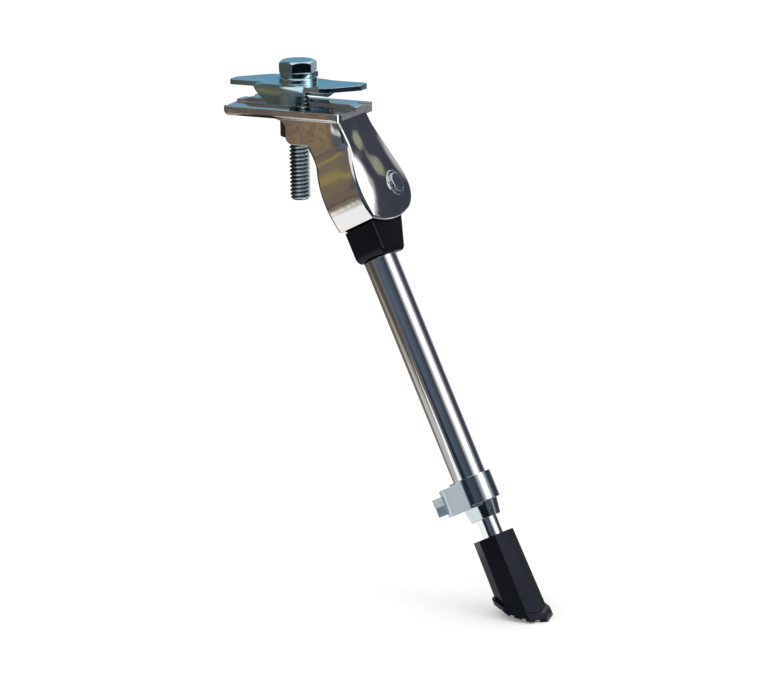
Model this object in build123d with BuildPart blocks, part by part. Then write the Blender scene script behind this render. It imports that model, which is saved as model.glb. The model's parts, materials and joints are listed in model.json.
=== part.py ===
from build123d import *
from math import acos, asin, atan2, cos, degrees, radians, sin, sqrt, tan
import os

# Bicycle kickstand, in millimetres.
# The origin is on the mounting bolt's axis, on the plane of the seat rims.
# +X points to the leg's side, +Y rearward and +Z up.

# Running and assembly gaps
bolt_gap = 0.05
swing_gap = 0.15
arc_gap = 0.4
shoulder_gap = 1.3
slide_gap = 0.08
seat_gap = 0.05
tip_gap = 0.35

# Seat plate of the bracket
plate_right = 30.4
plate_left = 34.0
plate_crown = 3.4
plate_width = 37.0
plate_thick = 4.4
plate_corner = 1.5
plate_end_round = 2.6
channel_deep = 1.1
rib_high = 1.3
rib_near = 1.0
rib_far = 8.0
rim_wide = 3.4
rim_step = 0.5

# Front web and threaded boss
web_left = 2.0
web_deep = 16.2
web_thick = 3.2
web_corner = 4.0
web_blend = 5.0
boss_radius = 9.0
boss_deep = 15.0

# Fork: the pin line leans outward and up, and the fork is square to it
pivot_x = 37.6
pivot_y = 6.9
pivot_z = -40.7
pin_tilt = 27.4
fork_half = 10.6
cheek_thick = 2.05
arc_wall = 2.8
arc_outer = 33.8
arc_drop = 11.0
cave_past = 15.0
wall_blend = 10.0
lobe_radius = 14.0
lobe_low = -75.0
lobe_high = 17.0
cheek_top = 31.0
cheek_round = 1.6
ring_radius = 6.2
ring_high = 0.5

# Pivot studs
stud_radius = 4.0
stud_head_radius = 4.7
stud_head_high = 1.3
stud_sink = 1.0
slot_half = 2.6

# Spring anchor bar between the cheeks, as seen from the pin line
bar_rear = -4.8
bar_up = 19.4
bar_radius = 2.4

# Leg
leg_rake = 6.0
leg_offset = 21.7
head_front = 8.6
head_rear = 11.4
head_end = 32.0
head_corner = 4.0
head_round = 1.8
ear_radius = 7.5
spigot_long = 18.0
tube_radius = 8.05
tube_wall = 1.5

# Extension spring
wire = 1.8
coil_radius = 3.8
coil_pitch = 4.0
coil_turns = 8
coil_start = 36.0
coil_gap = 0.5
plug_long = 13.0
hook_drop = 9.0

# Collar and set bolt
collar_start = 143.0
collar_long = 13.0
collar_radius = 10.2
cone_long = 7.6
cone_radius = 8.6
cone_small = 7.4
block_reach = 15.4
block_half = 9.0
block_turn = 145.4
set_flats = 8.6
set_radius = 3.0
set_head = 5.0
set_drop = 8.0
block_corner = 1.5

# Extension rod and foot
rod_radius = 5.0
rod_shown = 8.8
slide_out = 40.0
slide_stop = 1.0
guide_long = 12.0
foot_long = 37.7
foot_socket = 24.0
foot_half = 8.95
foot_flare = 0.9
foot_bevel = 0.27
foot_twist = 8.0
sole_tilt = 8.75
sole_thick = 3.4
sole_lip = 1.3
sole_round = 2.0
groove_wide = 2.0
groove_deep = 0.8

# Mounting bolt, washer and clamp plate
bolt_radius = 4.95
bolt_flats = 16.0
bolt_head = 5.2
bolt_turn = 40.0
bolt_end = -46.1
bolt_tip = 1.0
bolt_crown = 0.4
bolt_bevel = 1.0
washer_high = 2.4
washer_wide = 3.5
washer_radius = 7.1
washer_flare = 0.9
sheet = 2.4
wing_top = 11.0
crown_top = 13.6
crown_radius = 9.4
wing_reach = 33.5
wing_edge = 8.0
wing_bulge = 14.0
tab_left = 22.0
tab_left_low = 9.5
tab_right = 9.3
tab_low = 1.8
tab_front = 15.2
tab_sweep = 42.0
tab_bend = 5.0
tab_slit = 0.8
wing_round = 8.0
wing_corner = 2.5
crown_round = 1.2


def tangent_angle(point, radius, side):
    # angle at which a line from the point touches a circle about the origin
    reach = sqrt(point[0] ** 2 + point[1] ** 2)
    return degrees(atan2(point[1], point[0]) + side * acos(radius / reach))


def polar(radius, angle):
    return (radius * cos(radians(angle)), radius * sin(radians(angle)))


# Planes shared by the pieces: pivot is square to the pin line with x rearward and y up,
# swing is the same plane turned with the leg, and leg looks down the leg's own axis
pin_dir = Vector(cos(radians(pin_tilt)), 0, sin(radians(pin_tilt)))
pivot = Plane(origin=(pivot_x, pivot_y, pivot_z), x_dir=(0, 1, 0), z_dir=pin_dir)
pin_axis = Axis(pivot.origin, pin_dir)
leg_rear = pivot.x_dir * cos(radians(leg_rake)) - pivot.y_dir * sin(radians(leg_rake))
swing = Plane(origin=pivot.origin, x_dir=leg_rear, z_dir=pin_dir)
leg_dir = swing.y_dir * -1
leg = Plane(origin=pivot.origin - leg_rear * leg_offset, x_dir=pin_dir, z_dir=leg_dir)

# Sizes that follow from the ones above
seat_front = -plate_width / 2
plate_near = plate_left - plate_crown
cavity_half = fork_half - cheek_thick
head_half = cavity_half - swing_gap
arc_inner = arc_outer - arc_wall
head_arc = arc_inner - arc_gap
wall_front = seat_front + rim_step - pivot_y
wall_inner = wall_front + arc_wall
fork_rise = plate_width * 1.7
stud_inner = slot_half + swing_gap * 2
tube_bore = tube_radius - tube_wall
bore_radius = coil_radius + wire / 2 + coil_gap
collar_end = collar_start + collar_long
set_along = collar_start + set_drop
rod_top = set_along - set_radius - slide_stop - slide_out - guide_long
foot_start = collar_end + cone_long + rod_shown
sole_along = foot_start + foot_long

# Seat plate with a crowned end away from the leg, rounded underneath
with BuildPart() as seat_plate:
    with BuildSketch(Plane.XY):
        with BuildLine():
            Polyline((-plate_near, seat_front), (plate_right, seat_front), (plate_right, -seat_front),
                     (-plate_near, -seat_front))
            ThreePointArc((-plate_near, -seat_front), (-plate_left, 0), (-plate_near, seat_front))
        make_face()
    extrude(amount=-plate_thick)
    fillet(seat_plate.edges().group_by(Axis.Z)[0].sort_by(Axis.X)[0], plate_end_round)
    fillet(seat_plate.edges().filter_by(Axis.Z), plate_corner)

# Bracket: the fork is drawn square to the pin line and cut off under the seat plate
arc_end = 180 + degrees(asin(arc_drop / arc_outer))
wall_join = degrees(acos(wall_front / arc_outer))
cave_join = degrees(acos(wall_inner / arc_inner))
cave_end = arc_end + cave_past
cave_low = polar(arc_inner, cave_end)
lobe_end = polar(lobe_radius, lobe_high)
cheek_rear = lobe_end[0] - (cheek_top - lobe_end[1]) * tan(radians(lobe_high))
web_right = plate_right * 0.66

with BuildPart() as bracket:
    with BuildSketch(pivot) as fork_side:
        with BuildLine():
            Line((wall_front, fork_rise), polar(arc_outer, wall_join))
            CenterArc((0, 0), arc_outer, wall_join, arc_end - wall_join)
            TangentArc(polar(lobe_radius, lobe_low), polar(arc_outer, arc_end), tangent=polar(1, lobe_low - 90))
            CenterArc((0, 0), lobe_radius, lobe_low, lobe_high - lobe_low)
            Polyline(lobe_end, (cheek_rear, cheek_top), (cheek_rear, fork_rise), (wall_front, fork_rise))
        make_face()
        fillet(fork_side.vertices().sort_by_distance(polar(arc_outer, wall_join))[0], wall_blend)
        fillet(fork_side.vertices().sort_by_distance((cheek_rear, cheek_top))[0], wall_blend)
    extrude(amount=fork_half, both=True)
    cheeks = bracket.faces().sort_by(pin_axis)
    fillet(cheeks[0].edges() + cheeks[-1].edges(), cheek_round)
    split(bisect_by=Plane.XY.offset(-plate_thick / 2), keep=Keep.BOTTOM)
    # the space that the leg head swings in, open below and behind
    with BuildSketch(pivot) as cave_side:
        with BuildLine():
            Line((wall_inner, fork_rise), polar(arc_inner, cave_join))
            CenterArc((0, 0), arc_inner, cave_join, cave_end - cave_join)
            Polyline(cave_low, (cave_low[0], -arc_outer), (arc_outer, -arc_outer), (arc_outer, fork_rise),
                     (wall_inner, fork_rise))
        make_face()
        fillet(cave_side.vertices().sort_by_distance(polar(arc_inner, cave_join))[0], wall_blend + arc_wall)
    extrude(amount=cavity_half, both=True, mode=Mode.SUBTRACT)
    # spring anchor bar
    with BuildSketch(pivot):
        with Locations((bar_rear, bar_up)):
            Circle(bar_radius)
    extrude(amount=cavity_half + cheek_thick / 2, both=True)
    # raised rings around the studs, and the stepped stud holes
    for side in (1, -1):
        with BuildSketch(pivot.offset(side * cavity_half)):
            Circle(ring_radius)
        extrude(amount=side * (cheek_thick + ring_high))
        with BuildSketch(pivot.offset(side * cavity_half)):
            Circle(stud_radius + seat_gap)
        extrude(amount=side * (cheek_thick + ring_high), mode=Mode.SUBTRACT)
        with BuildSketch(pivot.offset(side * (fork_half + ring_high))):
            Circle(stud_head_radius + seat_gap)
        extrude(amount=-side * stud_sink, mode=Mode.SUBTRACT)
    add(seat_plate.part)
    # front web under the plate, a step behind its edge and flush with the fork's wall
    with BuildSketch(Plane.XZ.offset(-seat_front - rim_step)) as web:
        with BuildLine():
            RadiusArc((web_left - web_blend, -plate_thick), (web_left, -plate_thick - web_blend), web_blend)
            Polyline((web_left, -plate_thick - web_blend), (web_left, -web_deep), (web_right, -web_deep),
                     (web_right, -plate_thick / 2), (web_left - web_blend, -plate_thick / 2),
                     (web_left - web_blend, -plate_thick))
        make_face()
        fillet(web.vertices().sort_by_distance((web_left, -web_deep))[0], web_corner)
    extrude(amount=-web_thick)
    # threaded boss
    with BuildSketch(Plane.XY.offset(-plate_thick / 2)):
        Circle(boss_radius)
    extrude(amount=plate_thick / 2 - boss_deep)
    # seat channels along the plate, and a raised rib with sloped ends between them
    with BuildSketch(Plane.XY):
        with BuildLine():
            Polyline((-plate_left, seat_front + rim_wide), (plate_right, seat_front + rim_wide),
                     (plate_right, rib_near), (-plate_left, rib_near), close=True)
        make_face()
        with BuildLine():
            Polyline((-plate_left, rib_far), (plate_right, rib_far), (plate_right, -seat_front - rim_wide),
                     (-plate_left, -seat_front - rim_wide), close=True)
        make_face()
    extrude(amount=-channel_deep, mode=Mode.SUBTRACT)
    with BuildSketch(Plane.XZ.offset(-rib_near)):
        with BuildLine():
            Polyline((-plate_near, -channel_deep), (plate_right, -channel_deep), (plate_right, 0),
                     (plate_right - 3 * rib_high, rib_high), (3 * rib_high - plate_near, rib_high),
                     (-plate_near, 0), close=True)
        make_face()
    extrude(amount=rib_near - rib_far)
    with BuildSketch(Plane.XY.offset(rib_high)):
        Circle(bolt_radius + bolt_gap)
    extrude(amount=-rib_high - boss_deep, mode=Mode.SUBTRACT)

# Pivot studs: one in each cheek, so that the spring's hook can pass between them
with BuildPart() as pivot_stud_outer:
    with BuildSketch(pivot.offset(stud_inner)):
        Circle(stud_radius)
    extrude(amount=fork_half + ring_high - stud_inner)
    with BuildSketch(pivot.offset(fork_half + ring_high - stud_sink)):
        Circle(stud_head_radius)
    extrude(amount=stud_sink + stud_head_high)
    fillet(pivot_stud_outer.edges().sort_by(pin_axis)[-1], stud_head_high / 2)

with BuildPart() as pivot_stud_inner:
    with BuildSketch(pivot.offset(-stud_inner)):
        Circle(stud_radius)
    extrude(amount=stud_inner - fork_half - ring_high)
    with BuildSketch(pivot.offset(stud_sink - fork_half - ring_high)):
        Circle(stud_head_radius)
    extrude(amount=-stud_sink - stud_head_high)
    fillet(pivot_stud_inner.edges().sort_by(pin_axis)[0], stud_head_high / 2)

# Leg head: its front follows the fork's curved wall down to a shoulder, its ears turn on the studs
wall_low = swing.to_local_coords(pivot.from_local_coords(polar(arc_outer, arc_end)))
shoulder = wall_low.Y - shoulder_gap
front_face = -leg_offset - head_front
rear_low = (head_rear - leg_offset, -head_end)
ear_start = tangent_angle(rear_low, ear_radius, 1)
arc_top = 180 - degrees(asin(ear_radius / head_arc))
arc_low = 180 + degrees(asin(-shoulder / head_arc))

with BuildPart() as leg_head:
    with BuildSketch(swing) as head_side:
        with BuildLine():
            Line((0, ear_radius), polar(head_arc, arc_top))
            CenterArc((0, 0), head_arc, arc_top, arc_low - arc_top)
            Polyline(polar(head_arc, arc_low), (front_face, shoulder), (front_face, -head_end), rear_low,
                     polar(ear_radius, ear_start))
            CenterArc((0, 0), ear_radius, ear_start, 90 - ear_start)
        make_face()
        fillet(head_side.vertices().group_by(Axis.Y)[0], head_corner)
        fillet(head_side.vertices().sort_by_distance(polar(head_arc, arc_top))[0], head_corner / 2)
    extrude(amount=head_half, both=True)
    sides = leg_head.faces().sort_by(pin_axis)
    outline = sides[0].edges() + sides[-1].edges()
    fillet(outline.filter_by(lambda edge: leg.to_local_coords(edge.center()).Z > -shoulder), head_round)
    # spigot for the tube, with the bore that the coil works in
    with BuildSketch(leg.offset(head_end - 1)):
        Circle(tube_bore - seat_gap)
    extrude(amount=spigot_long + 1)
    with BuildSketch(leg.offset(-shoulder)):
        Circle(bore_radius)
    extrude(amount=head_end + spigot_long + shoulder, mode=Mode.SUBTRACT)
    # slot that the spring's long hook swings in
    with BuildSketch(swing):
        with BuildLine():
            Polyline((-leg_offset - slot_half, -head_end), (-leg_offset - slot_half, ear_radius * 2),
                     (ear_radius * 2, ear_radius * 2), (ear_radius * 2, -ear_radius / 2),
                     (bore_radius - leg_offset, -head_end), close=True)
        make_face()
    extrude(amount=slot_half, both=True, mode=Mode.SUBTRACT)
    with BuildSketch(swing):
        Circle(stud_radius + slide_gap)
    extrude(amount=fork_half, both=True, mode=Mode.SUBTRACT)

# Leg tube, with a hole for the set bolt
set_dir = leg.x_dir * cos(radians(block_turn)) + leg.y_dir * sin(radians(block_turn))
set_plane = Plane(origin=leg.offset(set_along).origin, x_dir=leg_dir, z_dir=set_dir)

with BuildPart() as leg_tube:
    with BuildSketch(leg.offset(head_end + seat_gap)):
        Circle(tube_radius)
        Circle(tube_bore, mode=Mode.SUBTRACT)
    extrude(amount=collar_end - 1 - head_end)
    with BuildSketch(set_plane):
        Circle(set_radius + tip_gap)
    extrude(amount=collar_radius, mode=Mode.SUBTRACT)

# Extension spring: close coil in the tube, a long hook up to the anchor bar and a short one to the plug
coil_long = coil_pitch * coil_turns
coil_low = coil_start + coil_long
coil_plane = Plane(origin=leg.offset(coil_start).origin, x_dir=leg_rear, z_dir=leg_dir)
coil_path = coil_plane.location * Helix(pitch=coil_pitch, height=coil_long, radius=coil_radius)
plug_bar = coil_low + hook_drop
loop_radius = bar_radius + wire / 2 + swing_gap
bar_spot = swing.to_local_coords(pivot.from_local_coords((bar_rear, bar_up)))
bar_centre = (bar_spot.X, bar_spot.Y)
hook_start = (coil_radius - leg_offset, -coil_start)
hook_turn = tangent_angle((hook_start[0] - bar_centre[0], hook_start[1] - bar_centre[1]), loop_radius, -1)
hook_spoke = polar(loop_radius, hook_turn)
hook_touch = (bar_centre[0] + hook_spoke[0], bar_centre[1] + hook_spoke[1])
plug_touch = (loop_radius - leg_offset, -plug_bar)

with BuildPart() as tension_spring:
    with BuildSketch(Plane(origin=coil_path @ 0, z_dir=coil_path % 0)):
        Circle(wire / 2)
    sweep(path=coil_path)
    with BuildLine(swing) as long_hook:
        Line(hook_start, hook_touch)
        CenterArc(bar_centre, loop_radius, hook_turn - 260, 260)
    with BuildSketch(Plane(origin=long_hook.line @ 0, z_dir=long_hook.line % 0)):
        Circle(wire / 2)
    sweep(path=long_hook.line)
    with BuildLine(swing) as short_hook:
        Line((coil_radius - leg_offset, -coil_low), plug_touch)
        CenterArc((-leg_offset, -plug_bar), loop_radius, -240, 240)
    with BuildSketch(Plane(origin=short_hook.line @ 0, z_dir=short_hook.line % 0)):
        Circle(wire / 2)
    sweep(path=short_hook.line)
    with Locations(coil_path @ 0, coil_path @ 1):
        Sphere(wire / 2)

# Plug in the tube with a cross bar for the short hook
with BuildPart() as spring_plug:
    with BuildSketch(leg.offset(plug_bar - plug_long / 2)):
        Circle(tube_bore - seat_gap)
    extrude(amount=plug_long)
    with BuildSketch(swing):
        with Locations((-leg_offset, plug_long / 2 - plug_bar - loop_radius - wire / 2 - tip_gap)):
            Rectangle(tube_radius * 2, plug_long)
    extrude(amount=wire / 2 + tip_gap, both=True, mode=Mode.SUBTRACT)
    with BuildSketch(swing):
        with Locations((-leg_offset, -plug_bar)):
            Circle(bar_radius)
    extrude(amount=wire + tip_gap, both=True)

# Collar with a cone below and a block for the set bolt
with BuildPart() as adjuster_collar:
    with BuildSketch(leg.offset(collar_start)):
        Circle(collar_radius)
    extrude(amount=collar_long)
    with BuildSketch(Plane(origin=leg.offset(collar_start + 1).origin, x_dir=set_dir, z_dir=leg_dir)) as block:
        Rectangle(block_reach, block_half * 2, align=(Align.MIN, Align.CENTER))
        fillet(block.vertices().group_by(Axis.X)[-1], block_corner)
    extrude(amount=collar_long)
    with BuildSketch(leg.offset(collar_end)):
        Circle(cone_radius)
    with BuildSketch(leg.offset(collar_end + cone_long)):
        Circle(cone_small)
    loft()
    with BuildSketch(leg.offset(collar_start)):
        Circle(tube_radius + seat_gap)
    extrude(amount=collar_long - 0.8, mode=Mode.SUBTRACT)
    with BuildSketch(leg.offset(collar_start)):
        Circle(rod_radius + slide_gap)
    extrude(amount=collar_long + cone_long + 1, mode=Mode.SUBTRACT)
    with BuildSketch(set_plane):
        Circle(set_radius + bolt_gap)
    extrude(amount=block_reach + 1, mode=Mode.SUBTRACT)

# Set bolt
with BuildPart() as adjuster_bolt:
    with BuildSketch(set_plane.offset(rod_radius + tip_gap)):
        Circle(set_radius)
    extrude(amount=block_reach - rod_radius - tip_gap)
    with BuildSketch(set_plane.offset(block_reach)):
        RegularPolygon(set_flats / 2, 6, major_radius=False, rotation=30)
    extrude(amount=set_head)

# Extension rod, with a guide ring on its hidden end
with BuildPart() as extension_rod:
    with BuildSketch(leg.offset(rod_top)):
        Circle(rod_radius)
    extrude(amount=foot_start + foot_socket - rod_top)

with BuildPart() as rod_guide:
    with BuildSketch(leg.offset(rod_top)):
        Circle(tube_bore - slide_gap)
        Circle(rod_radius + seat_gap, mode=Mode.SUBTRACT)
    extrude(amount=guide_long)

# Foot: a bevelled square that widens to a lipped sole, which is level when the bicycle leans on the stand
foot_side = leg.x_dir * cos(radians(foot_twist)) - leg.y_dir * sin(radians(foot_twist))
foot_top = Plane(origin=leg.offset(foot_start).origin, x_dir=foot_side, z_dir=leg_dir)
sole_up = Vector(sin(radians(sole_tilt)), 0, cos(radians(sole_tilt)))
sole = Plane(origin=leg.offset(sole_along).origin, x_dir=foot_side, z_dir=sole_up)
foot_over = sole_along - foot_start + foot_half * 2

with BuildPart() as tread:
    with BuildSketch(foot_top) as lip:
        Rectangle((foot_half + sole_lip) * 2, (foot_half + sole_lip) * 2)
        chamfer(lip.vertices(), (foot_half + sole_lip) * 2 * foot_bevel)
    extrude(amount=foot_over, taper=-foot_flare)
    split(bisect_by=sole, keep=Keep.TOP)
    split(bisect_by=sole.offset(sole_thick), keep=Keep.BOTTOM)

with BuildPart() as foot:
    with BuildSketch(foot_top) as upper:
        Rectangle(foot_half * 2, foot_half * 2)
        chamfer(upper.vertices(), foot_half * 2 * foot_bevel)
    extrude(amount=foot_over, taper=-foot_flare)
    split(bisect_by=sole, keep=Keep.TOP)
    add(tread.part)
    sole_face = foot.faces().sort_by(Axis(sole.origin, sole_up))[0]
    fillet(sole_face.edges().sort_by(Axis.X)[:3], sole_round)
    with BuildSketch(leg.offset(foot_start)):
        Circle(rod_radius + seat_gap)
    extrude(amount=foot_socket + seat_gap, mode=Mode.SUBTRACT)
    with BuildSketch(sole):
        with GridLocations(groove_wide * 3, 0, 4, 1):
            Rectangle(groove_wide, foot_half * 4)
    extrude(amount=groove_deep, mode=Mode.SUBTRACT)

# Mounting bolt with a hex head
head_low = crown_top + washer_high
head_top = head_low + bolt_head
bolt_fall = (bolt_flats / 2 + bolt_crown) * bolt_bevel / (bolt_flats / sqrt(3) - bolt_flats / 2 + bolt_crown)

with BuildPart() as mounting_bolt:
    with BuildSketch(Plane.XY.offset(head_low)):
        RegularPolygon(bolt_flats / 2, 6, major_radius=False, rotation=bolt_turn)
    extrude(amount=bolt_head)
    with BuildSketch(Plane.XZ):
        with BuildLine():
            Polyline((bolt_flats / 2 - bolt_crown, head_top), (bolt_flats, head_top),
                     (bolt_flats, head_top - bolt_fall), close=True)
        make_face()
    revolve(axis=Axis.Z, mode=Mode.SUBTRACT)
    with BuildSketch(Plane.XY.offset(head_low)):
        Circle(bolt_radius)
    extrude(amount=bolt_end - head_low)
    chamfer(mounting_bolt.edges().sort_by(Axis.Z)[0], bolt_tip)

# Split spring washer whose free end flares outward
with BuildPart() as lock_washer:
    with BuildLine(Plane.XY.offset(crown_top + washer_high / 2)) as turn:
        ring = CenterArc((0, 0), washer_radius, 46, 290)
        TangentArc(ring @ 1, polar(washer_radius + washer_flare, 382), tangent=ring % 1)
    with BuildSketch(Plane(origin=turn.line @ 0, x_dir=(0, 0, 1), z_dir=turn.line % 0)):
        Rectangle(washer_high, washer_wide)
    sweep(path=turn.line)

# Clamp plate: one turned-down tab, bowed and trimmed to a slanted side
tab_start = -130.0
tab_centre = (0, tab_sweep - tab_front, 0)
tab_plane = Plane(origin=tab_centre, x_dir=(*polar(1, tab_start), 0), z_dir=(*polar(1, tab_start - 90), 0))
tab_root = tab_sweep - tab_front + wing_edge / 2
bend_start = tab_sweep - tab_bend

with BuildPart() as clamp_tab:
    with BuildSketch(tab_plane):
        with BuildLine():
            Polyline((bend_start, wing_top - sheet), (tab_root, wing_top - sheet), (tab_root, wing_top),
                     (bend_start, wing_top))
            RadiusArc((bend_start, wing_top), (tab_sweep, wing_top - tab_bend), tab_bend)
            Polyline((tab_sweep, wing_top - tab_bend), (tab_sweep, tab_low), (tab_sweep - sheet, tab_low),
                     (tab_sweep - sheet, wing_top - tab_bend))
            RadiusArc((tab_sweep - sheet, wing_top - tab_bend), (bend_start, wing_top - sheet), sheet - tab_bend)
        make_face()
    revolve(axis=Axis(tab_centre, (0, 0, 1)), revolution_arc=-2 * (tab_start + 90))
    with BuildSketch(Plane.XZ):
        with BuildLine():
            Polyline((-tab_left, wing_top), (tab_right, wing_top), (tab_right, tab_low), (-tab_left_low, tab_low),
                     close=True)
        make_face()
    extrude(amount=tab_sweep, both=True, mode=Mode.INTERSECT)

# The plate itself is the same after half a turn about the bolt
with BuildPart() as clamp_plate:
    with BuildSketch(Plane.XY.offset(wing_top)) as wings:
        with BuildLine():
            Polyline((-wing_reach, -wing_edge), (tab_right + tab_slit, -wing_edge),
                     (tab_right + tab_slit, -wing_bulge), (wing_reach * 0.62, -wing_bulge), (wing_reach, 0),
                     (wing_reach, wing_edge), (-tab_right - tab_slit, wing_edge),
                     (-tab_right - tab_slit, wing_bulge), (-wing_reach * 0.62, wing_bulge), (-wing_reach, 0),
                     close=True)
        make_face()
        for spot in ((wing_reach * 0.62, -wing_bulge), (-wing_reach * 0.62, wing_bulge)):
            fillet(wings.vertices().sort_by_distance(spot)[0], wing_round)
        for spot in ((wing_reach, 0), (-wing_reach, 0), (wing_reach, wing_edge), (-wing_reach, -wing_edge)):
            fillet(wings.vertices().sort_by_distance(spot)[0], wing_corner)
    extrude(amount=-sheet)
    with PolarLocations(0, 2):
        add(clamp_tab.part)
    with BuildSketch(Plane.XY.offset(wing_top - sheet)):
        Circle(crown_radius)
    extrude(amount=crown_top - wing_top + sheet)
    fillet(clamp_plate.edges().sort_by(Axis.Z)[-1], crown_round)
    with BuildSketch(Plane.XY.offset(wing_top - sheet)):
        Circle(crown_radius - sheet)
    extrude(amount=crown_top - wing_top, mode=Mode.SUBTRACT)
    with BuildSketch(Plane.XY.offset(crown_top)):
        Circle(bolt_radius + tip_gap)
    extrude(amount=-crown_top, mode=Mode.SUBTRACT)

os.makedirs("parts", exist_ok=True)

bracket.part.label = "bracket"
export_step(bracket.part, "parts/bracket.step")
pivot_stud_outer.part.label = "pivot_stud_outer"
export_step(pivot_stud_outer.part, "parts/pivot_stud_outer.step")
pivot_stud_inner.part.label = "pivot_stud_inner"
export_step(pivot_stud_inner.part, "parts/pivot_stud_inner.step")
leg_head.part.label = "leg_head"
export_step(leg_head.part, "parts/leg_head.step")
leg_tube.part.label = "leg_tube"
export_step(leg_tube.part, "parts/leg_tube.step")
tension_spring.part.label = "tension_spring"
export_step(tension_spring.part, "parts/tension_spring.step")
spring_plug.part.label = "spring_plug"
export_step(spring_plug.part, "parts/spring_plug.step")
adjuster_collar.part.label = "adjuster_collar"
export_step(adjuster_collar.part, "parts/adjuster_collar.step")
adjuster_bolt.part.label = "adjuster_bolt"
export_step(adjuster_bolt.part, "parts/adjuster_bolt.step")
extension_rod.part.label = "extension_rod"
export_step(extension_rod.part, "parts/extension_rod.step")
rod_guide.part.label = "rod_guide"
export_step(rod_guide.part, "parts/rod_guide.step")
foot.part.label = "foot"
export_step(foot.part, "parts/foot.step")
mounting_bolt.part.label = "mounting_bolt"
export_step(mounting_bolt.part, "parts/mounting_bolt.step")
lock_washer.part.label = "lock_washer"
export_step(lock_washer.part, "parts/lock_washer.step")
clamp_plate.part.label = "clamp_plate"
export_step(clamp_plate.part, "parts/clamp_plate.step")
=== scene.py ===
import json
import math

import bmesh
import bpy
from mathutils import Matrix, Vector


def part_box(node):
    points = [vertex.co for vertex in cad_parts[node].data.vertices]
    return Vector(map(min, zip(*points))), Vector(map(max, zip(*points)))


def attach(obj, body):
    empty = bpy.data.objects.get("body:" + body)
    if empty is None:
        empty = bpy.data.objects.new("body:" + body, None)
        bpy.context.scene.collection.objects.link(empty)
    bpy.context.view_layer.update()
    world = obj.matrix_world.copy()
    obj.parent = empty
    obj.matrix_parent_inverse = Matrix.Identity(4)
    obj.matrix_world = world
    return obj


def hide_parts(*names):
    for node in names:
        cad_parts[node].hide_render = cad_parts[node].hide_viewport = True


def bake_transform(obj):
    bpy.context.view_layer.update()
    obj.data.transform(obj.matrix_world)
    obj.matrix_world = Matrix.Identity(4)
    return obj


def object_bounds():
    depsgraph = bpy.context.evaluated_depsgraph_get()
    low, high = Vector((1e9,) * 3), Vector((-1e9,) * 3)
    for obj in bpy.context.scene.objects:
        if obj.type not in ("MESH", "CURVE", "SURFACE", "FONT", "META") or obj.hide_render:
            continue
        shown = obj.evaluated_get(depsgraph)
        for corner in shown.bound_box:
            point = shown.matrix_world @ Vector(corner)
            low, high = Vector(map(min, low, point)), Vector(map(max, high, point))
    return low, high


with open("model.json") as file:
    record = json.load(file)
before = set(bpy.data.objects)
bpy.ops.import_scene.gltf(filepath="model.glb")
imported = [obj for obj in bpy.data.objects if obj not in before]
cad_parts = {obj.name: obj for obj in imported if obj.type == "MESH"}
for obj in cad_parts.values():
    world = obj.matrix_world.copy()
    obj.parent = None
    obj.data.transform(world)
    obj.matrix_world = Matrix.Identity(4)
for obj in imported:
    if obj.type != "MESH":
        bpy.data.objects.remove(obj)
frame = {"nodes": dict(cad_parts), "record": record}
nodes = frame["nodes"]
cadLow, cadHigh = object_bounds()
print("frame loaded", len(nodes), "nodes")

scene = bpy.context.scene
scene.view_settings.view_transform = "Standard"

# directions shared with the record: pin line of the fork and the leg's own axis
joints = {joint["name"]: joint for joint in frame["record"]["behaviour"]["joints"]}
pinAxis = Vector(joints["leg_fold"]["axis"])
pinSpot = Vector(joints["leg_fold"]["pos_m"])
legAxis = Vector(joints["leg_extension"]["axis"])
legTurn = legAxis.to_track_quat("Z", "Y").to_euler()
setSpot = Vector(joints["set_bolt_turn"]["pos_m"])
rearward = Vector((0, 1, 0))
upward = pinAxis.cross(rearward)  # square to the pin, up along the fork


def compass(azimuth, elevation):
    az, el = math.radians(azimuth), math.radians(elevation)
    return Vector((math.sin(az) * math.cos(el), -math.cos(az) * math.cos(el), math.sin(el)))


# node helpers
def setInputs(tree, node, values):
    for key, value in values.items():
        if isinstance(value, bpy.types.NodeSocket):
            tree.links.new(value, node.inputs[key])
        else:
            node.inputs[key].default_value = value


def addNode(tree, kind, values=None, **settings):
    node = tree.nodes.new("ShaderNode" + kind)
    for key, value in settings.items():
        setattr(node, key, value)
    setInputs(tree, node, values or {})
    return node


def objectPlace(tree):
    return addNode(tree, "TexCoord").outputs["Object"]


def faceNormal(tree):
    return addNode(tree, "NewGeometry").outputs["Normal"]


def noise(tree, place, scale, detail, distortion=0):
    values = {"Vector": place, "Scale": scale, "Detail": detail, "Distortion": distortion}
    return addNode(tree, "TexNoise", values).outputs["Fac"]


def mathNode(tree, operation, first, second):
    return addNode(tree, "Math", {0: first, 1: second}, operation=operation).outputs["Value"]


def vectorMath(tree, operation, first, second=None):
    values = {0: first}
    if second is not None:
        values["Scale" if operation == "SCALE" else 1] = second
    node = addNode(tree, "VectorMath", values, operation=operation)
    return node.outputs["Value" if operation in ("DOT_PRODUCT", "LENGTH") else "Vector"]


def mapRange(tree, value, source, target=(0, 1), **settings):
    values = {"Value": value, "From Min": source[0], "From Max": source[1],
              "To Min": target[0], "To Max": target[1]}
    return addNode(tree, "MapRange", values, **settings).outputs["Result"]


def mixed(tree, factor, first, second, kind="RGBA"):
    return addNode(tree, "Mix", {"Factor": factor, "A": first, "B": second}, data_type=kind).outputs["Result"]


def newGroup(name, inputs, outputs):
    tree = bpy.data.node_groups.new(name, "ShaderNodeTree")
    for label, value in inputs.items():
        kind = "NodeSocketVector" if isinstance(value, tuple) else "NodeSocketFloat"
        tree.interface.new_socket(label, in_out="INPUT", socket_type=kind).default_value = value
    for label, kind in outputs.items():
        tree.interface.new_socket(label, in_out="OUTPUT", socket_type="NodeSocket" + kind)
    return tree, tree.nodes.new("NodeGroupInput").outputs, tree.nodes.new("NodeGroupOutput")


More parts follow.
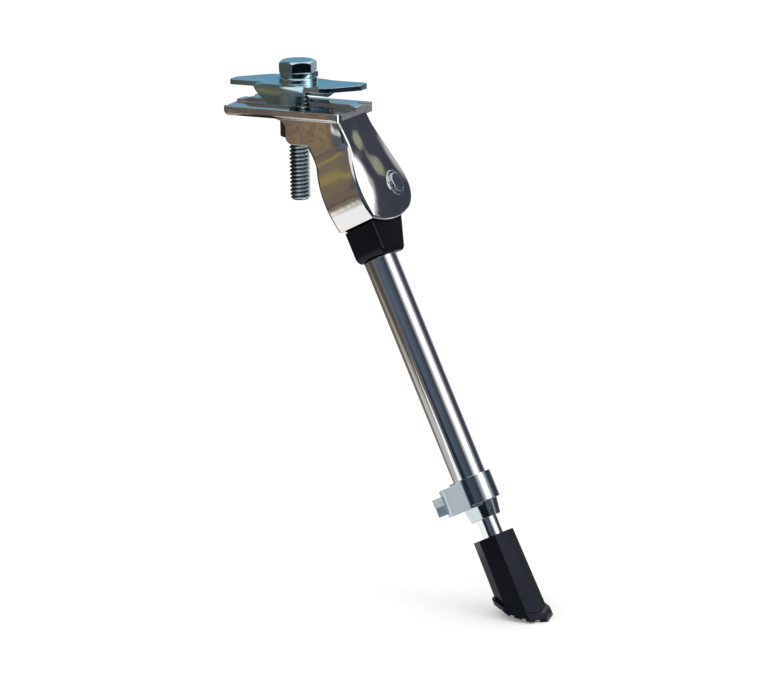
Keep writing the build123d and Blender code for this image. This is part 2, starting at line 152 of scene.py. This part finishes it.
def useGroup(tree, group, values):
    return addNode(tree, "Group", values, node_tree=group).outputs


# shared effect: fine lines drawn along one direction
def makeDrawnLines():
    inputs = {"Turn": (0, 0, 0), "Across": 1500, "Along": 30}
    tree, given, result = newGroup("drawnLines", inputs, {"Lines": "Float"})
    turned = addNode(tree, "VectorRotate", {"Vector": objectPlace(tree), "Rotation": given["Turn"]},
                     rotation_type="EULER_XYZ", invert=True)
    stretch = addNode(tree, "CombineXYZ", {"X": given["Across"], "Y": given["Across"], "Z": given["Along"]})
    spread = vectorMath(tree, "MULTIPLY", turned.outputs["Vector"], stretch.outputs["Vector"])
    setInputs(tree, result, {"Lines": noise(tree, spread, scale=1, detail=2)})
    return tree


# shared effect: smudges of handling and a fine grain
def makeHandling():
    inputs = {"Smudge Size": 60, "Grain Size": 2500}
    tree, given, result = newGroup("handling", inputs, {"Smudge": "Float", "Grain": "Float"})
    place = objectPlace(tree)
    smudge = noise(tree, place, scale=given["Smudge Size"], detail=4, distortion=0.6)
    grain = noise(tree, place, scale=given["Grain Size"], detail=3)
    setInputs(tree, result, {"Smudge": smudge, "Grain": grain})
    return tree


# shared effect: rounded edges over a fine relief, and a mask of the rims
softEdgeSetup = {"samples": 10, "rim": (0.995, 0.85)}


def makeSoftEdge():
    inputs = {"Radius": 0.0004, "Height": 0.5, "Depth": 0.0001, "Strength": 0.3}
    tree, given, result = newGroup("softEdge", inputs, {"Normal": "Vector", "Rim": "Float"})
    bevel = addNode(tree, "Bevel", {"Radius": given["Radius"]}, samples=softEdgeSetup["samples"])
    rounded = bevel.outputs["Normal"]
    bump = addNode(tree, "Bump", {"Height": given["Height"], "Distance": given["Depth"],
                                  "Strength": given["Strength"], "Normal": rounded})
    match = vectorMath(tree, "DOT_PRODUCT", rounded, faceNormal(tree))
    rim = mapRange(tree, match, softEdgeSetup["rim"])
    setInputs(tree, result, {"Normal": bump.outputs["Normal"], "Rim": rim})
    return tree


# shared effect: mask of what is far from an axis
def makeOffAxis():
    inputs = {"Start": (0, 0, 0), "Axis": (0, 0, 1), "Near": 0.01, "Far": 0.011}
    tree, given, result = newGroup("offAxis", inputs, {"Mask": "Float"})
    offset = vectorMath(tree, "SUBTRACT", objectPlace(tree), given["Start"])
    reach = vectorMath(tree, "LENGTH", vectorMath(tree, "CROSS_PRODUCT", offset, given["Axis"]))
    setInputs(tree, result, {"Mask": mapRange(tree, reach, (given["Near"], given["Far"]))})
    return tree


# shared effect: an oval place on one face whose normal leans, as a hand-buffed face does
buffingSetup = {"patches": 110, "patchSpan": (0.2, 0.8), "sway": (-0.3, 0.3), "faceSpan": (0.6, 0.8)}


def makeBuffing():
    inputs = {"Normal": (0, 0, 1), "Centre": (0, 0, 0), "Along": (0, 0, 1), "Length": 0.01, "Width": 0.006,
              "Face": (1, 0, 0), "Turn": (0, 0, 0), "Soft": 0.4, "Ragged": 0.2}
    tree, given, result = newGroup("buffing", inputs, {"Normal": "Vector"})
    place = objectPlace(tree)
    offset = vectorMath(tree, "SUBTRACT", place, given["Centre"])
    run = vectorMath(tree, "DOT_PRODUCT", offset, given["Along"])
    aside = vectorMath(tree, "SUBTRACT", offset, vectorMath(tree, "SCALE", given["Along"], run))
    wide = vectorMath(tree, "LENGTH", aside)
    ratio = addNode(tree, "CombineXYZ", {"X": mathNode(tree, "DIVIDE", run, given["Length"]),
                                         "Y": mathNode(tree, "DIVIDE", wide, given["Width"])})
    oval = vectorMath(tree, "LENGTH", ratio.outputs["Vector"])
    uneven = noise(tree, place, scale=buffingSetup["patches"], detail=1)
    shift = mapRange(tree, uneven, buffingSetup["patchSpan"], buffingSetup["sway"])
    reach = mathNode(tree, "ADD", oval, mathNode(tree, "MULTIPLY", shift, given["Ragged"]))
    inner = mathNode(tree, "SUBTRACT", 1, given["Soft"])
    spot = mapRange(tree, reach, (1, inner), interpolation_type="SMOOTHSTEP")
    facing = vectorMath(tree, "DOT_PRODUCT", faceNormal(tree), given["Face"])
    share = mathNode(tree, "MULTIPLY", spot, mapRange(tree, facing, buffingSetup["faceSpan"]))
    lean = vectorMath(tree, "SCALE", given["Turn"], share)
    total = vectorMath(tree, "ADD", given["Normal"], lean)
    setInputs(tree, result, {"Normal": vectorMath(tree, "NORMALIZE", total)})
    return tree


drawnLines = makeDrawnLines()
handling = makeHandling()
softEdge = makeSoftEdge()
offAxis = makeOffAxis()
buffing = makeBuffing()
print("shared effects made")


# materials: dark and light are tones, smudge and grain noise sizes, edge a radius, depth and bump the relief
noiseSpan = (0.3, 0.7)
blackGloss = (0.62, 0.7, 1, 1)


def newMaterial(name):
    material = bpy.data.materials.new(name)
    material.use_nodes = True
    return material, material.node_tree


def tint(tree, factor, dark, light, span=noiseSpan):
    return mixed(tree, mapRange(tree, factor, span), (*dark, 1), (*light, 1))


def addMarks(tree, setup):
    return useGroup(tree, handling, {"Smudge Size": setup["smudge"], "Grain Size": setup["grain"]})


def addEdge(tree, setup, height):
    values = {"Radius": setup["edge"], "Height": height, "Depth": setup["depth"], "Strength": setup["bump"]}
    return useGroup(tree, softEdge, values)


def addRoughness(tree, setup, marks):
    return mapRange(tree, marks["Smudge"], noiseSpan, (setup["smooth"], setup["rough"]))


def makeMetal(name, setup):
    material, tree = newMaterial(name)
    marks = addMarks(tree, setup)
    height, metallic = marks["Grain"], 1
    if "lines" in setup:
        lines = {"Turn": setup["turn"], "Across": setup["lines"], "Along": setup["along"]}
        height = useGroup(tree, drawnLines, lines)["Lines"]
    normal = addEdge(tree, setup, height)["Normal"]
    color = tint(tree, marks["Smudge"], setup["dark"], setup["light"])
    roughness = addRoughness(tree, setup, marks)
    if "root" in setup:  # thread, with painted shade: a darker colour between its crests
        near, far = setup["crest"]
        crest = useGroup(tree, offAxis, {"Near": near, "Far": far})["Mask"]
        color = mixed(tree, crest, (*setup["root"], 1), color)
    if "satin" in setup:  # collar, a turned ring with a duller block beside it
        near, far = setup["ring"]
        line = {"Start": tuple(setSpot), "Axis": tuple(legAxis)}
        block = useGroup(tree, offAxis, {**line, "Near": near, "Far": far})["Mask"]
        color = mixed(tree, block, (*setup["turned"], 1), color)
        roughness = mixed(tree, block, roughness, setup["satin"], "FLOAT")
        metallic = mixed(tree, block, 1, setup["dull"], "FLOAT")
    for spot in setup.get("buffed", []):
        normal = useGroup(tree, buffing, {"Normal": normal, **spot})["Normal"]
    setInputs(tree, tree.nodes["Principled BSDF"], {
        "Base Color": color, "Metallic": metallic, "Roughness": roughness, "Normal": normal})
    return material


def makeBlack(name, setup):
    material, tree = newMaterial(name)
    marks = addMarks(tree, setup)
    edge = addEdge(tree, setup, marks["Grain"])
    # base colour turns lighter on the rounded rims
    setInputs(tree, tree.nodes["Principled BSDF"], {
        "Base Color": tint(tree, edge["Rim"], setup["color"], setup["rimTone"], (0, 1)), "Metallic": 0,
        "Roughness": addRoughness(tree, setup, marks), "Specular IOR Level": setup["gloss"],
        "Specular Tint": blackGloss, "Normal": edge["Normal"]})
    return material


# buffed places of the casting, on the cheek and the front wall measured from the pin
castFaces = {"cheekOut": 0.0106, "wallAhead": 0.0249}


def onCheek(rear, up):
    return tuple(pinSpot + pinAxis * castFaces["cheekOut"] + rearward * rear + upward * up)


def onWall(across, up):
    return tuple(pinSpot + pinAxis * across + upward * up - rearward * castFaces["wallAhead"])


def slanted(up, rear):
    return tuple((upward * up + rearward * rear).normalized())


cheekFace, frontFace, cornerFace = tuple(pinAxis), (0, -1, 0), (0.707, -0.707, 0)
buffed = [
    # cheek: the pale front, the rear edge and two cream glows
    {"Centre": onCheek(-0.045, 0.0075), "Along": slanted(0.97, 0.24), "Length": 0.03, "Width": 0.0335,
     "Face": cheekFace, "Turn": (0, -0.62, 0), "Soft": 0.48},
    {"Centre": onCheek(0.0115, 0.012), "Along": slanted(0.956, -0.292), "Length": 0.022, "Width": 0.0095,
     "Face": cheekFace, "Turn": (0, 0.34, 0), "Soft": 0.95},
    {"Centre": onCheek(-0.0155, 0.0245), "Along": slanted(0.9, 0.4), "Length": 0.0115, "Width": 0.0085,
     "Face": cheekFace, "Turn": tuple(upward * 0.24), "Soft": 0.98, "Ragged": 0.7},
    {"Centre": onCheek(-0.008, 0.0095), "Along": slanted(0.8, -0.6), "Length": 0.0155, "Width": 0.009,
     "Face": cheekFace, "Turn": tuple(upward * 0.24), "Soft": 0.98, "Ragged": 0.7},
    # corner of the seat plate, edge of the front wall and top of the web
    {"Centre": (0.0301, -0.0182, -0.0022), "Along": (0, 0, 1), "Length": 0.008, "Width": 0.004,
     "Face": cornerFace, "Turn": (0, 0, 0.45), "Soft": 0.6},
    {"Centre": onWall(0.0106, 0.012), "Along": tuple(upward), "Length": 0.035, "Width": 0.011,
     "Face": frontFace, "Turn": tuple(pinAxis * 0.26), "Soft": 0.9},
    {"Centre": (0.0305, -0.018, -0.006), "Along": (0, 0, 1), "Length": 0.0085, "Width": 0.006,
     "Face": frontFace, "Turn": (0, 0, -0.3), "Soft": 1, "Ragged": 0.6},
]
polished = makeMetal("polishedCast", {
    "dark": (0.74, 0.73, 0.72), "light": (0.86, 0.85, 0.84), "smudge": 55, "grain": 60, "edge": 0.0006,
    "depth": 0.004, "bump": 0.035, "smooth": 0.06, "rough": 0.14, "buffed": buffed})
zinc = makeMetal("brightZinc", {
    "dark": (0.44, 0.64, 0.72), "light": (0.62, 0.8, 0.86), "smudge": 90, "grain": 700, "edge": 0.0004,
    "depth": 0.0004, "bump": 0.05, "smooth": 0.08, "rough": 0.17})
# bolt thread: zinc with painted shade, a dark tone in the roots between the crests
threadZincPaintedRootShade = makeMetal("threadZincPaintedRootShade", {
    "dark": (0.68, 0.84, 0.9), "light": (0.84, 0.95, 0.98), "smudge": 90, "grain": 700, "edge": 0.0002,
    "depth": 0.0004, "bump": 0.06, "smooth": 0.14, "rough": 0.26,
    "root": (0.14, 0.17, 0.18), "crest": (0.0041, 0.0047)})
# set bolt: the same zinc plating in a darker tone, painted shade for the darker look of its faces
setZincPaintedShade = makeMetal("setZincPaintedShade", {
    "dark": (0.3, 0.37, 0.4), "light": (0.46, 0.56, 0.61), "smudge": 160, "grain": 800, "edge": 0.0005,
    "depth": 0.0004, "bump": 0.1, "smooth": 0.1, "rough": 0.2})
collarZinc = makeMetal("satinZinc", {
    "dark": (0.7, 0.81, 0.89), "light": (0.8, 0.89, 0.95), "smudge": 80, "grain": 900, "edge": 0.0004,
    "depth": 0.0004, "bump": 0.07, "smooth": 0.08, "rough": 0.16,
    "satin": 0.5, "dull": 0.7, "ring": (0.0104, 0.0107), "turned": (0.6, 0.68, 0.71)})
studSteel = makeMetal("studSteel", {
    "dark": (0.5, 0.58, 0.68), "light": (0.57, 0.65, 0.74), "smudge": 120, "grain": 500, "edge": 0.0003,
    "depth": 0.0003, "bump": 0.03, "smooth": 0.2, "rough": 0.3})
chrome = makeMetal("brightTube", {
    "dark": (0.8, 0.81, 0.83), "light": (0.9, 0.91, 0.93), "smudge": 40, "grain": 900, "edge": 0.0003,
    "depth": 0.0002, "bump": 0.05, "smooth": 0.04, "rough": 0.1,
    "lines": 1400, "along": 12, "turn": tuple(legTurn)})
springWire = makeMetal("springWire", {
    "dark": (0.3, 0.31, 0.33), "light": (0.45, 0.45, 0.46), "smudge": 300, "grain": 1500, "edge": 0.0002,
    "depth": 0.0003, "bump": 0.15, "smooth": 0.3, "rough": 0.45})
blackCast = makeBlack("blackCast", {
    "color": (0.004, 0.004, 0.005), "rimTone": (0.012, 0.012, 0.014), "smudge": 120, "grain": 1200, "edge": 0.0006,
    "depth": 0.0004, "bump": 0.12, "smooth": 0.26, "rough": 0.36, "gloss": 0.3})
blackPlastic = makeBlack("blackPlastic", {
    "color": (0.003, 0.003, 0.004), "rimTone": (0.01, 0.01, 0.012), "smudge": 90, "grain": 1800, "edge": 0.0005,
    "depth": 0.0003, "bump": 0.12, "smooth": 0.22, "rough": 0.32, "gloss": 0.3})
innerPlastic = makeBlack("innerPlastic", {
    "color": (0.05, 0.05, 0.05), "rimTone": (0.07, 0.07, 0.07), "smudge": 90, "grain": 1800, "edge": 0.0003,
    "depth": 0.0003, "bump": 0.1, "smooth": 0.45, "rough": 0.6, "gloss": 0.4})

coats = {
    "bracket": polished, "pivot_stud_outer": studSteel, "pivot_stud_inner": studSteel,
    "leg_head": blackCast, "leg_tube": chrome, "tension_spring": springWire, "spring_plug": innerPlastic,
    "adjuster_collar": collarZinc, "adjuster_bolt": setZincPaintedShade,
    "extension_rod": chrome, "rod_guide": innerPlastic, "foot": blackPlastic,
    "mounting_bolt": zinc, "lock_washer": zinc, "clamp_plate": zinc,
}


def coat(mesh, material):
    mesh.materials.clear()
    mesh.materials.append(material)


for node, material in coats.items():
    coat(nodes[node].data, material)
print("materials set")


def addPiece(name, mesh, material):
    coat(mesh, material)
    piece = bpy.data.objects.new(name, mesh)
    scene.collection.objects.link(piece)
    return piece


# mounting bolt: rolled thread on the shank and the hex head taken over from the frame
thread = {"crest": 0.00495, "root": 0.00408, "pitch": 0.0019, "flank": 1.25, "flat": 0.42, "tip": 0.0012,
          "low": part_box("mounting_bolt")[0].z, "high": 0.016, "around": 56, "perTurn": 12, "headMargin": 0.00001}


def threadRadius(turns, height):
    phase = (height / thread["pitch"] - turns) % 1
    rise = min(max(0.5 - abs(phase - 0.5) * thread["flank"], 0), thread["flat"]) / thread["flat"]
    rise = rise * rise * (3 - 2 * rise)  # flat crest, rounded root
    radius = thread["root"] + (thread["crest"] - thread["root"]) * rise
    return min(radius, thread["crest"] - thread["tip"] + (height - thread["low"]))


def makeThread():
    shape = bmesh.new()
    low, high, around = thread["low"], thread["high"], thread["around"]
    rows = int((high - low) / thread["pitch"] * thread["perTurn"])
    rings = []
    for row in range(rows + 1):
        height = low + (high - low) * row / rows
        ring = []
        for step in range(around):
            turns = step / around
            radius = threadRadius(turns, height)
            spot = (radius * math.cos(turns * math.tau), radius * math.sin(turns * math.tau), height)
            ring.append(shape.verts.new(spot))
        rings.append(ring)
    for lower, upper in zip(rings, rings[1:]):
        for step in range(around):
            after = (step + 1) % around
            shape.faces.new((lower[step], lower[after], upper[after], upper[step]))
    shape.faces.new(list(reversed(rings[0])))
    for face in shape.faces:
        face.smooth = len(face.verts) == 4
    mesh = bpy.data.meshes.new("boltThread")
    shape.to_mesh(mesh)
    shape.free()
    return mesh


def makeBoltHead():
    shape = bmesh.new()
    shape.from_mesh(nodes["mounting_bolt"].data)
    cut = thread["high"] - thread["headMargin"]
    shank = [face for face in shape.faces if face.calc_center_median().z < cut]
    bmesh.ops.delete(shape, geom=shank, context="FACES")
    mesh = bpy.data.meshes.new("boltHead")
    shape.to_mesh(mesh)
    shape.free()
    return mesh


def makeBolt():
    boltThread = addPiece("boltThread", makeThread(), threadZincPaintedRootShade)
    boltHead = addPiece("boltHead", makeBoltHead(), zinc)
    for piece in (boltThread, boltHead):
        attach(piece, "bolt")
    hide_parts("mounting_bolt")


makeBolt()
print("bolt made")


def makeSpring():
    mesh = nodes["tension_spring"].data.copy()
    mesh.name = "springCoil"
    piece = addPiece("springCoil", mesh, springWire)
    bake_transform(piece)
    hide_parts("tension_spring")


makeSpring()
print("spring made")

# floor, a little lifted where it is seen or mirrored
floorSetup = {"reach": 8, "color": (0.9, 0.9, 0.9), "lift": 0.14}
floorLevel = cadLow.z


def makeFloor():
    reach = floorSetup["reach"]
    corners = [(x * reach, y * reach, floorLevel) for x, y in ((-1, -1), (1, -1), (1, 1), (-1, 1))]
    mesh = bpy.data.meshes.new("floor")
    mesh.from_pydata(corners, [], [(0, 1, 2, 3)])
    material, tree = newMaterial("paleFloor")
    tree.nodes.clear()
    shade = addNode(tree, "BsdfDiffuse", {"Color": (*floorSetup["color"], 1)})
    path = addNode(tree, "LightPath").outputs
    mirrored = mathNode(tree, "MAXIMUM", path["Is Glossy Ray"], path["Is Transmission Ray"])
    seen = mathNode(tree, "MAXIMUM", path["Is Camera Ray"], mirrored)
    strength = mathNode(tree, "MULTIPLY", seen, floorSetup["lift"])
    glow = addNode(tree, "Emission", {"Color": (1, 1, 1, 1), "Strength": strength})
    both = addNode(tree, "AddShader", {0: shade.outputs["BSDF"], 1: glow.outputs["Emission"]})
    addNode(tree, "OutputMaterial", {"Surface": both.outputs["Shader"]})
    addPiece("floor", mesh, material)


makeFloor()
print("floor made")


# world: plain white
def makeWorld():
    world = bpy.data.worlds.new("studio")
    scene.world = world
    world.use_nodes = True
    setInputs(world.node_tree, world.node_tree.nodes["Background"], {"Color": (1, 1, 1, 1), "Strength": 1})


makeWorld()
print("world made")

# studio cards round the object, seen by reflections only: each row is a radius, a height and a tone
cardSetup = {"centre": (0.05, 0, floorLevel + 0.002), "steps": 24}
cards = [
    {"name": "edgeTable", "span": (-140, -78), "rows": [
        (0.02, 0, (0.24, 0.19, 0.13)), (0.2, 0, (0.2, 0.155, 0.105)), (0.42, 0, (0.14, 0.11, 0.08)),
        (0.9, 0, (0.06, 0.065, 0.07)), (1.45, 0, (0.07, 0.085, 0.1)), (1.45, 1.2, (0.14, 0.13, 0.11)),
        (1.45, 2.6, (0.12, 0.11, 0.1))]},
    {"name": "leftTable", "span": (-78, -35), "rows": [
        (0.02, 0, (0.5, 0.5, 0.5)), (0.14, 0, (0.5, 0.5, 0.5)), (0.25, 0, (0.56, 0.56, 0.56)),
        (0.3, 0, (0.42, 0.41, 0.39)), (0.4, 0, (0.32, 0.3, 0.27)), (0.45, 0, (0.13, 0.11, 0.085)),
        (0.6, 0, (0.07, 0.07, 0.07)), (1.45, 0, (0.1, 0.095, 0.09)), (1.45, 0.2, (0.2, 0.15, 0.11)),
        (1.45, 0.6, (0.2, 0.155, 0.1)), (1.45, 0.72, (0.3, 0.245, 0.1)), (1.45, 0.82, (0.3, 0.245, 0.1)),
        (1.45, 1, (0.2, 0.16, 0.11)), (1.45, 2.6, (0.13, 0.12, 0.11))]},
    {"name": "frontTable", "span": (-35, -25), "rows": [
        (0.72, 0, (0.17, 0.13, 0.09)), (0.76, 0, (0.36, 0.29, 0.1)), (0.84, 0, (0.26, 0.2, 0.1)),
        (0.92, 0, (0.19, 0.14, 0.11)), (1.06, 0, (0.21, 0.15, 0.115)), (1.19, 0, (0.23, 0.15, 0.118)),
        (1.23, 0, (0.1, 0.095, 0.09)), (1.45, 0, (0.12, 0.1, 0.09)), (1.45, 0.1, (0.19, 0.14, 0.11)),
        (1.45, 0.25, (0.15, 0.12, 0.1)), (1.45, 0.35, (0.1, 0.105, 0.11)), (1.45, 0.9, (0.12, 0.125, 0.135)),
        (1.45, 2.2, (0.2, 0.18, 0.15))]},
    {"name": "frontGrey", "span": (-25, -14), "rows": [
        (0.5, 0, (0.75, 0.74, 0.73)), (0.74, 0, (0.12, 0.115, 0.11)), (1.45, 0, (0.1, 0.112, 0.13)),
        (1.45, 0.3, (0.125, 0.145, 0.175)), (1.45, 2, (0.12, 0.135, 0.155))]},
    {"name": "warmSpot", "span": (-29, -28.4), "rows": [
        (1.06, 0.002, (0.42, 0.34, 0.12)), (1.15, 0.002, (0.46, 0.38, 0.13))]},
    {"name": "nearShade", "span": (25, 150), "rows": [
        (0.02, -0.0005, (0.45, 0.46, 0.48)), (0.15, -0.0005, (0.38, 0.39, 0.41)),
        (0.3, -0.0005, (0.22, 0.23, 0.26)), (0.5, -0.0005, (0.1, 0.11, 0.13))]},
    {"name": "darkFront", "span": (-14, 48), "fade": (1.45, 0.6), "rows": [
        (0.4, 0, (0.008, 0.012, 0.02)), (1.3, 0, (0.006, 0.01, 0.018)), (1.3, 0.2, (0.012, 0.018, 0.03)),
        (1.3, 0.32, (0.07, 0.09, 0.122)), (1.3, 0.5, (0.08, 0.1, 0.135)), (1.3, 1.3, (0.045, 0.06, 0.085))]},
    {"name": "lampEdge", "span": (48, 72), "fade": (0.07, 1), "rows": [
        (0.5, 0, (0.02, 0.025, 0.04)), (1.3, 0, (0.02, 0.025, 0.04)), (1.3, 0.3, (0.04, 0.045, 0.06)),
        (1.3, 0.45, (0.9, 0.9, 0.92)), (1.3, 1.3, (0.95, 0.95, 0.96))]},
    {"name": "lampFoot", "span": (72, 104), "rows": [
        (0.5, 0, (0.02, 0.025, 0.04)), (1.3, 0, (0.02, 0.025, 0.04)), (1.3, 0.42, (0.03, 0.036, 0.055))]},
    {"name": "sideFade", "span": (104, 127), "fade": (1, 0.06), "rows": [
        (0.5, 0, (0.06, 0.07, 0.1)), (1.3, 0, (0.06, 0.07, 0.1)), (1.3, 0.42, (0.8, 0.8, 0.82)),
        (1.3, 0.85, (0.8, 0.8, 0.82)), (1.3, 2, (1.3, 1.3, 1.32))]},
    {"name": "sideWall", "span": (127, 160), "rows": [
        (0.35, 0, (0.03, 0.035, 0.055)), (0.95, 0, (0.036, 0.04, 0.066)), (1.05, 0, (0.22, 0.215, 0.24)),
        (1.25, 0, (0.3, 0.29, 0.31)), (1.3, 0, (0.05, 0.052, 0.075)), (1.3, 0.3, (0.045, 0.05, 0.075)),
        (1.3, 0.66, (0.055, 0.06, 0.085)), (1.3, 0.8, (0.09, 0.095, 0.11)), (1.3, 2, (0.5, 0.5, 0.5))]},
    {"name": "creamWall", "span": (145, 178), "rows": [
        (1.32, 0.5, (0.05, 0.052, 0.07)), (1.32, 0.68, (0.16, 0.16, 0.135)), (1.32, 0.85, (0.42, 0.43, 0.32)),
        (1.32, 1.6, (0.48, 0.48, 0.36))]},
    {"name": "rearFade", "span": (160, 188), "fade": (0.06, 1), "rows": [
        (0.35, 0, (0.5, 0.5, 0.55)), (1.3, 0, (0.8, 0.8, 0.85)), (1.3, 0.55, (0.8, 0.8, 0.85))]},
    {"name": "boltFlag", "centre": (0, 0, -0.052), "span": (-150, -18), "rows": [  # small, beside the thread
        (0.028, 0, (0.05, 0.04, 0.03)), (0.03, 0.002, (0.03, 0.028, 0.025)), (0.03, 0.047, (0.02, 0.02, 0.02))]},
    {"name": "rearWall", "span": (194, 250), "rows": [
        (0.5, 0, (0.05, 0.07, 0.1)), (1.3, 0, (0.07, 0.12, 0.18)), (1.3, 0.5, (0.2, 0.38, 0.51)),
        (1.3, 1.2, (0.24, 0.43, 0.56))]},
]


def makeCard(card):
    centre = Vector(card.get("centre", cardSetup["centre"]))
    first, last = card["span"]
    begin, finish = card.get("fade", (1, 1))
    rows, steps = card["rows"], cardSetup["steps"]
    points, faces, tones = [], [], []
    for step in range(steps + 1):
        out = compass(first + (last - first) * step / steps, 0)
        level = begin + (finish - begin) * step / steps
        for radius, height, tone in rows:
            points.append(centre + out * radius + Vector((0, 0, height)))
            tones.append((tone[0] * level, tone[1] * level, tone[2] * level, 1))
    for step in range(steps):
        for row in range(len(rows) - 1):
            at = step * len(rows) + row
            faces.append((at, at + 1, at + 1 + len(rows), at + len(rows)))
    mesh = bpy.data.meshes.new(card["name"])
    mesh.from_pydata(points, [], faces)
    paint = mesh.color_attributes.new("tone", "FLOAT_COLOR", "POINT")
    for spot, tone in zip(paint.data, tones):
        spot.color = tone
    material, tree = newMaterial(card["name"])
    tree.nodes.clear()
    color = addNode(tree, "Attribute", attribute_name="tone").outputs["Color"]
    glow = addNode(tree, "Emission", {"Color": color, "Strength": 1})
    addNode(tree, "OutputMaterial", {"Surface": glow.outputs["Emission"]})
    piece = addPiece(card["name"], mesh, material)
    for ray in ("camera", "diffuse", "transmission", "shadow"):
        setattr(piece, "visible_" + ray, False)


for card in cards:
    makeCard(card)
print("cards set")

# one tall soft lamp on the leg's side
lampSetup = {"azimuth": 88, "elevation": 27, "distance": 1.8, "width": 0.75, "height": 0.95, "power": 3.4,
             "aim": (0.06, -0.01, -0.1)}


def makeLamp():
    data = bpy.data.lights.new("sideLamp", "AREA")
    data.shape = "RECTANGLE"
    data.size = lampSetup["width"]
    data.size_y = lampSetup["height"]
    data.energy = lampSetup["power"]
    lamp = bpy.data.objects.new("sideLamp", data)
    scene.collection.objects.link(lamp)
    toward = compass(lampSetup["azimuth"], lampSetup["elevation"])
    lamp.location = Vector(lampSetup["aim"]) + toward * lampSetup["distance"]
    lamp.rotation_euler = toward.to_track_quat("Z", "Y").to_euler()


makeLamp()
print("lamp made")

# camera at the photograph's angle
cameraSetup = {"azimuth": 26.64, "elevation": 14.35, "roll": -0.86, "place": (0.7702, -1.4496, 0.3047),
               "lens": 164.5, "sensor": 36, "farClip": 50}


def makeCamera():
    data = bpy.data.cameras.new("camera")
    data.lens = cameraSetup["lens"]
    data.sensor_width = cameraSetup["sensor"]
    data.clip_end = cameraSetup["farClip"]
    camera = bpy.data.objects.new("camera", data)
    scene.collection.objects.link(camera)
    back = compass(cameraSetup["azimuth"], cameraSetup["elevation"])
    level = Vector((0, 0, 1)).cross(back).normalized()
    rise = back.cross(level)
    roll = math.radians(cameraSetup["roll"])
    right = level * math.cos(roll) + rise * math.sin(roll)
    up = rise * math.cos(roll) - level * math.sin(roll)
    camera.matrix_world = Matrix((right, up, back)).transposed().to_4x4()
    camera.location = cameraSetup["place"]
    scene.camera = camera


makeCamera()
print("camera placed")
